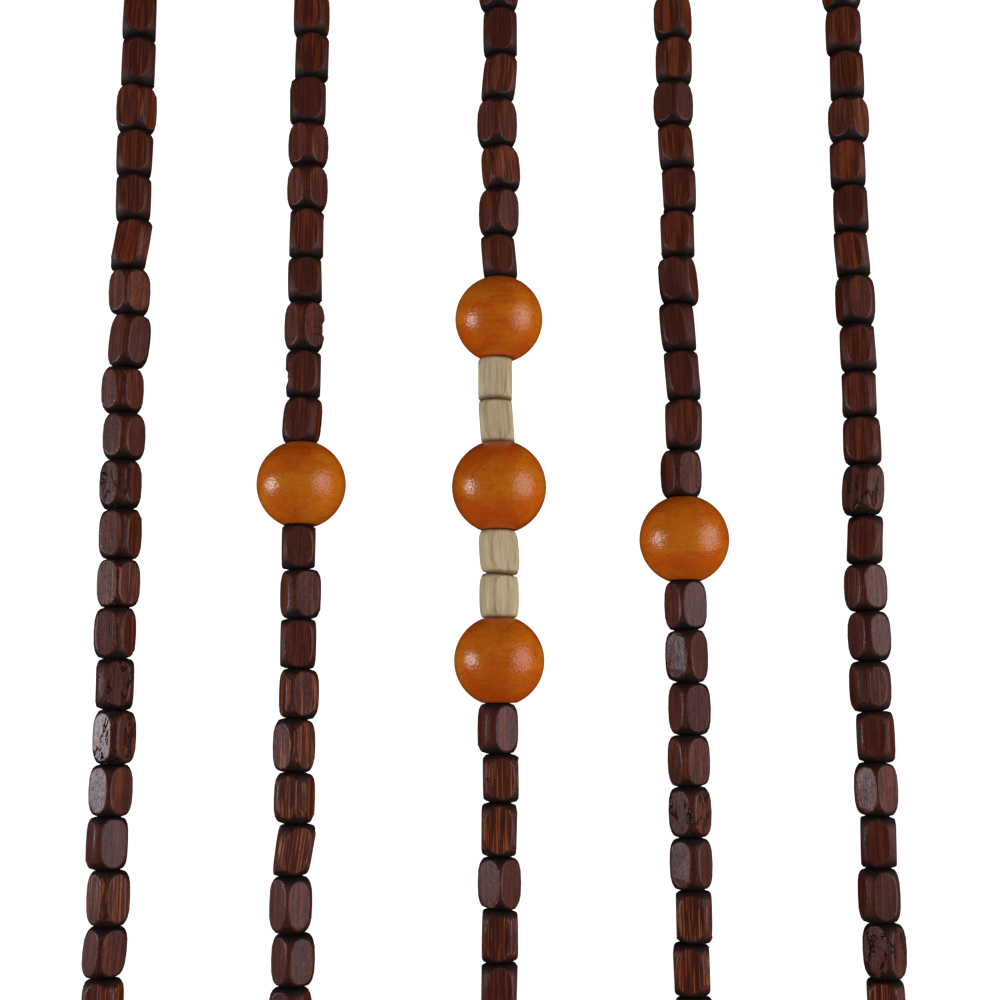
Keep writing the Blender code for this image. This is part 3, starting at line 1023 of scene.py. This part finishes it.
class CURTAIN_OT_stage(bpy.types.Operator):
    """Set up the pale backdrop, the soft lights and the camera"""

    bl_idname = "curtain.stage"
    bl_label = "Stage"
    bl_options = {"REGISTER", "UNDO"}

    def execute(self, context):
        settings = context.scene.curtain_stage
        context.scene.view_settings.view_transform = "Standard"
        self.backdrop(context, settings)
        left = self.light(
            context, "left_light", settings.left_power, LEFT_LIGHT_SIZE, LEFT_LIGHT_PLACE
        )
        left.data.color = LEFT_LIGHT_COLOUR
        self.light(context, "right_light", settings.right_power, RIGHT_LIGHT_SIZE, RIGHT_LIGHT_PLACE)
        self.fill(context, settings)
        camera = bpy.data.objects.new("camera", bpy.data.cameras.new("camera"))
        camera.data.lens = settings.lens
        camera.data.sensor_width = SENSOR_WIDTH
        camera.data.clip_start = 0.01
        camera.location = CAMERA_PLACE
        camera.rotation_euler = (CAMERA_TILT, 0.0, 0.0)
        context.scene.collection.objects.link(camera)
        context.scene.camera = camera
        return {"FINISHED"}

    def backdrop(self, context, settings):
        """A pale floor that sweeps up into a round wall."""
        shape = spun(BACKDROP_OUTLINE, ROUND_SIDES, closed=False)
        bmesh.ops.remove_doubles(shape, verts=shape.verts, dist=1 * MM)
        bmesh.ops.recalc_face_normals(shape, faces=shape.faces)
        bmesh.ops.reverse_faces(shape, faces=shape.faces)
        for face in shape.faces:
            face.smooth = True
        mesh = bpy.data.meshes.new("backdrop")
        shape.to_mesh(mesh)
        shape.free()
        material = Finish("backdrop").done(
            Base_Color=(0.8, 0.8, 0.8, 1.0), Roughness=1.0, Specular_IOR_Level=0.0,
            Emission_Color=(1.0, 1.0, 1.0, 1.0), Emission_Strength=settings.backdrop,
        )
        material.cycles.emission_sampling = "NONE"
        mesh.materials.append(material)
        backdrop = bpy.data.objects.new("backdrop", mesh)
        backdrop.visible_diffuse = False
        backdrop.visible_glossy = False
        backdrop.visible_shadow = False
        context.scene.collection.objects.link(backdrop)

    def light(self, context, name, power, size, place):
        """A soft light that faces the middle of the beads."""
        lamp = bpy.data.lights.new(name, "AREA")
        lamp.shape = "ELLIPSE"
        lamp.size, lamp.size_y = size
        lamp.energy = power
        light = bpy.data.objects.new(name, lamp)
        light.location = place
        aim = Vector(LIT_PLACE) - light.location
        light.rotation_euler = aim.to_track_quat("-Z", "Y").to_euler()
        context.scene.collection.objects.link(light)
        return light

    def fill(self, context, settings):
        """Soft light from all round, brighter from the floor than from above, and not seen as a shine."""
        world = bpy.data.worlds.new("fill")
        world.use_nodes = True
        nodes = world.node_tree.nodes
        links = world.node_tree.links
        place = nodes.new("ShaderNodeTexCoord")
        split = nodes.new("ShaderNodeSeparateXYZ")
        steps = nodes.new("ShaderNodeMapRange")
        steps.interpolation_type = "SMOOTHSTEP"
        steps.inputs["From Min"].default_value = FILL_FADE[0]
        steps.inputs["From Max"].default_value = FILL_FADE[1]
        steps.inputs["To Min"].default_value = settings.fill
        steps.inputs["To Max"].default_value = settings.fill * FILL_ABOVE
        links.new(place.outputs["Generated"], split.inputs[0])
        links.new(split.outputs["Z"], steps.inputs["Value"])
        links.new(steps.outputs[0], nodes["Background"].inputs["Strength"])
        nodes["Background"].inputs["Color"].default_value = (1.0, 1.0, 1.0, 1.0)
        world.cycles_visibility.glossy = False
        context.scene.world = world


class CURTAIN_PT_parts(bpy.types.Panel):
    """Lists the curtain's sizes and colours, and the buttons that make its parts"""

    bl_idname = "CURTAIN_PT_parts"
    bl_label = "Bead Curtain"
    bl_space_type = "VIEW_3D"
    bl_region_type = "UI"
    bl_category = "Bead Curtain"

    def draw(self, context):
        for group, operators in PARTS.items():
            box = self.layout.box()
            settings = getattr(context.scene, group)
            for name in settings.bl_rna.properties.keys():
                if name not in {"rna_type", "name"}:
                    box.prop(settings, name)
            for operator in operators:
                box.operator(operator.bl_idname)


GROUPS = {
    "curtain_bamboo": BambooSettings,
    "curtain_balls": BallSettings,
    "curtain_heading": HeadingSettings,
    "curtain_stage": StageSettings,
}
PARTS = {
    "curtain_bamboo": (CURTAIN_OT_dark_beads, CURTAIN_OT_cream_beads),
    "curtain_balls": (CURTAIN_OT_balls,),
    "curtain_heading": (CURTAIN_OT_heading, CURTAIN_OT_cords),
    "curtain_stage": (CURTAIN_OT_stage,),
}
OPERATORS = [operator for operators in PARTS.values() for operator in operators]
CLASSES = (*GROUPS.values(), *OPERATORS, CURTAIN_PT_parts)


def register():
    for kind in CLASSES:
        bpy.utils.register_class(kind)
    for name, group in GROUPS.items():
        setattr(bpy.types.Scene, name, PointerProperty(type=group))


def unregister():
    for name in GROUPS:
        delattr(bpy.types.Scene, name)
    for kind in reversed(CLASSES):
        bpy.utils.unregister_class(kind)


def main():
    register()
    bpy.ops.curtain.dark_beads()
    bpy.ops.curtain.cream_beads()
    bpy.ops.curtain.balls()
    bpy.ops.curtain.heading()
    bpy.ops.curtain.cords()
    bpy.ops.curtain.stage()


if __name__ == "__main__":
    main()
